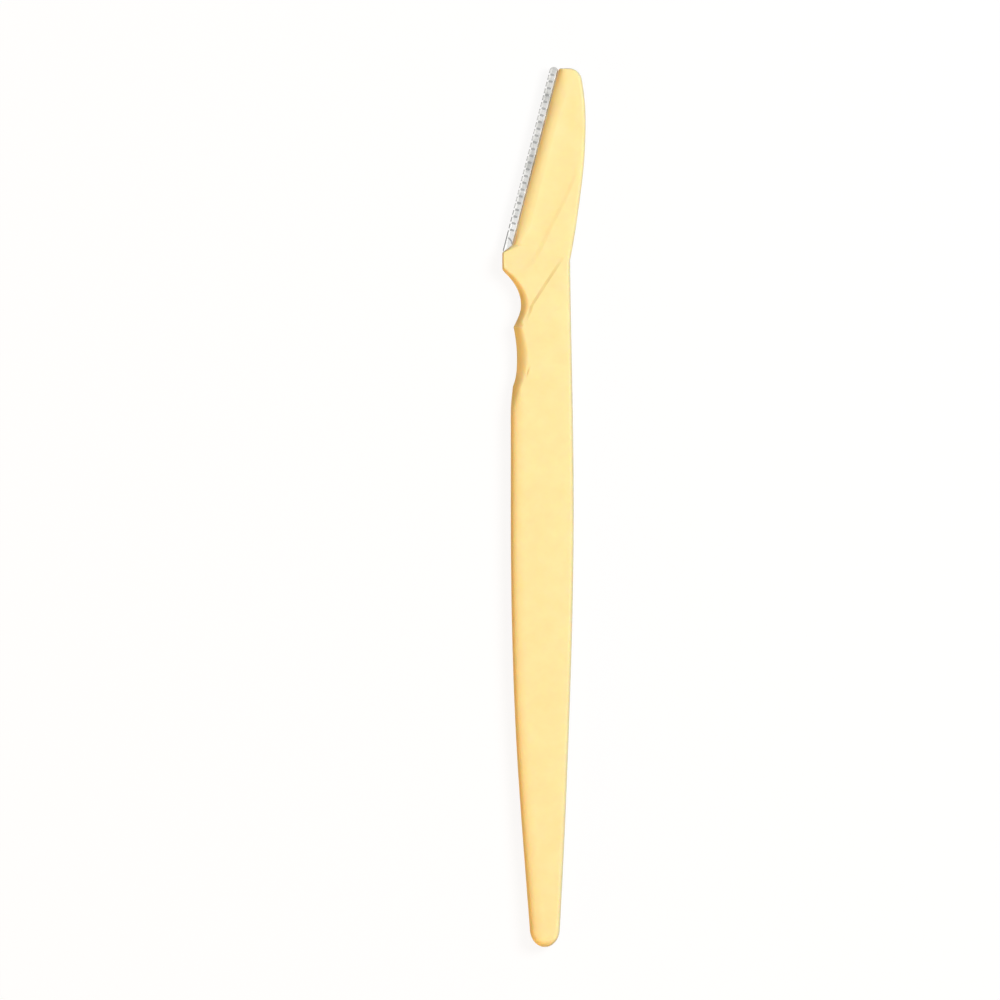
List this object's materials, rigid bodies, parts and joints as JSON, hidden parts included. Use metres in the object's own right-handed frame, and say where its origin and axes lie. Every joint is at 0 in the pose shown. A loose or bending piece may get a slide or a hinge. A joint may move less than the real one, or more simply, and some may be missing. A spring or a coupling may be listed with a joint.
{
  "type": "eyebrow razor",
  "caption": "Straight moulded eyebrow razor with finger notches, a flared head and a slanted blade behind a folded comb guard.",
  "frame": {"origin": "under the middle of the whole razor, on the plane that its flat back rests on", "axes": "+X towards the spine and away from the blade, +Y from the tail to the tip, +Z out of the front face"},
  "size_m": [0.0142, 0.15, 0.0042],
  "materials": {
    "handle_plastic": "satin",
    "blade_steel": "ground",
    "guard_steel": "stamped, bright",
    "plate_plastic": "satin"
  },
  "bodies": {
    "root": {"handle": "handle_plastic", "blade": "blade_steel", "guard": "guard_steel", "clamp_plate": "plate_plastic"}
  },
  "joints": []
}
